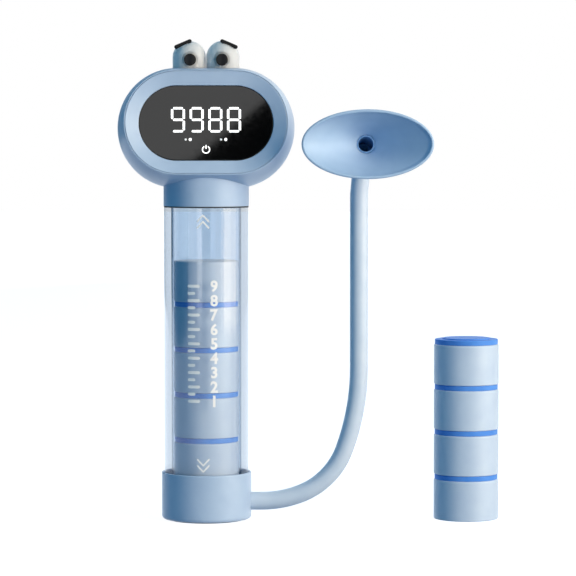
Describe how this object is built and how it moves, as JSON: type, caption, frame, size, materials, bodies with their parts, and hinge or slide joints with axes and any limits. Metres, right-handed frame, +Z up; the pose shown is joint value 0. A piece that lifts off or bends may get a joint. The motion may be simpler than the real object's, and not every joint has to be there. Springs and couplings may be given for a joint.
{
  "type": "breathing trainer",
  "caption": "Breathing trainer: clear tube with a column of weights, a head with a digital display and toy eyes, a hose with a mouth funnel, and a spare stack of weights.",
  "frame": {"origin": "centre of the foot pad's underside, on the clear tube's axis, where the trainer stands on the table", "axes": "+Z up along the tube, -Y out of the display's face towards the user, +X towards the hose and the spare stack"},
  "size_m": [0.1907, 0.0673, 0.2399],
  "materials": {
    "light_blue_plastic": "smooth light blue, soft gloss",
    "cap_blue_plastic": "smooth bright blue, gloss",
    "clear_plastic": "clear, polished, pale blue tint",
    "lens_black": "black, high gloss",
    "eye_white": "white, gloss",
    "mark_black": "black, gloss",
    "hose_rubber": "soft light blue silicone, satin",
    "funnel_rubber": "soft blue silicone, satin",
    "seal_rubber": "dark, matt",
    "cushion_rubber": "soft blue, matt",
    "board_green": "green solder mask",
    "module_grey": "dark grey moulding",
    "key_foil": "sensor spring, yellow metal",
    "cell_foil": "silver foil pouch",
    "steel": "bright steel"
  },
  "bodies": {
    "base": {"base_cup": "light_blue_plastic", "foot_pad": "seal_rubber", "support_grid": "light_blue_plastic", "landing_cushion": "cushion_rubber", "hose_nipple": "light_blue_plastic", "tube_gasket": "seal_rubber"},
    "tube": {"clear_tube": "clear_plastic", "neck_seal": "seal_rubber"},
    "head": {"neck_collar": "light_blue_plastic", "top_bumper": "seal_rubber", "sensor_board": "board_green", "front_shell": "light_blue_plastic", "rear_shell": "light_blue_plastic", "face_bezel": "light_blue_plastic", "display_lens": "lens_black", "display_board": "board_green", "digit_module": "module_grey", "touch_pad": "key_foil", "battery_cell": "cell_foil", "charge_board": "board_green", "charge_socket": "steel", "board_screws": "steel", "shell_screws": "steel", "eye_pair": "eye_white", "pupil_left": "mark_black", "pupil_right": "mark_black", "brow_left": "mark_black", "brow_right": "mark_black"},
    "stack": {"float_body": "light_blue_plastic", "float_magnet": "steel", "stack_slugs": "steel", "stack_weight_1": "light_blue_plastic", "stack_weight_2": "light_blue_plastic", "stack_weight_3": "light_blue_plastic", "stack_weight_4": "light_blue_plastic", "stack_cap_1": "cap_blue_plastic", "stack_cap_2": "cap_blue_plastic", "stack_cap_3": "cap_blue_plastic", "stack_cap_4": "cap_blue_plastic"},
    "hose_line": {"hose": "hose_rubber"},
    "mouthpiece": {"mouth_elbow": "light_blue_plastic"},
    "funnel": {"mouth_funnel": "funnel_rubber"},
    "spare_1": {"spare_weight_1": "light_blue_plastic", "spare_cap_1": "cap_blue_plastic", "spare_slug_1": "steel"},
    "spare_2": {"spare_weight_2": "light_blue_plastic", "spare_cap_2": "cap_blue_plastic", "spare_slug_2": "steel"},
    "spare_3": {"spare_weight_3": "light_blue_plastic", "spare_cap_3": "cap_blue_plastic", "spare_slug_3": "steel"},
    "spare_4": {"spare_weight_4": "light_blue_plastic", "spare_cap_4": "cap_blue_plastic", "spare_slug_4": "steel"}
  },
  "joints": [
    {"name": "stack_rise", "type": "slide", "parent": "base", "child": "stack", "axis": [0, 0, 1], "range_m": [0, 0.037]},
    {"name": "tube_lift", "type": "slide", "parent": "base", "child": "tube", "axis": [0, 0, 1], "range_m": [0, 0.012]},
    {"name": "head_lift", "type": "slide", "parent": "tube", "child": "head", "axis": [0, 0, 1], "range_m": [0, 0.012]},
    {"name": "hose_pull", "type": "slide", "parent": "base", "child": "hose_line", "axis": [1, 0, 0], "range_m": [0, 0.012]},
    {"name": "mouth_swivel", "type": "hinge", "parent": "hose_line", "child": "mouthpiece", "pos_m": [0.07739, 0, 0.17357], "axis": [0.0958, 0, 0.9954], "range_deg": [-15, 90]},
    {"name": "funnel_pull", "type": "slide", "parent": "mouthpiece", "child": "funnel", "axis": [0, -1, 0], "range_m": [0, 0.01]},
    {"name": "spare_lift_1", "type": "slide", "parent": "base", "child": "spare_1", "axis": [0, 0, 1], "range_m": [0, 0.015]},
    {"name": "spare_lift_2", "type": "slide", "parent": "spare_1", "child": "spare_2", "axis": [0, 0, 1], "range_m": [0, 0.015]},
    {"name": "spare_lift_3", "type": "slide", "parent": "spare_2", "child": "spare_3", "axis": [0, 0, 1], "range_m": [0, 0.015]},
    {"name": "spare_lift_4", "type": "slide", "parent": "spare_3", "child": "spare_4", "axis": [0, 0, 1], "range_m": [0, 0.015]}
  ]
}
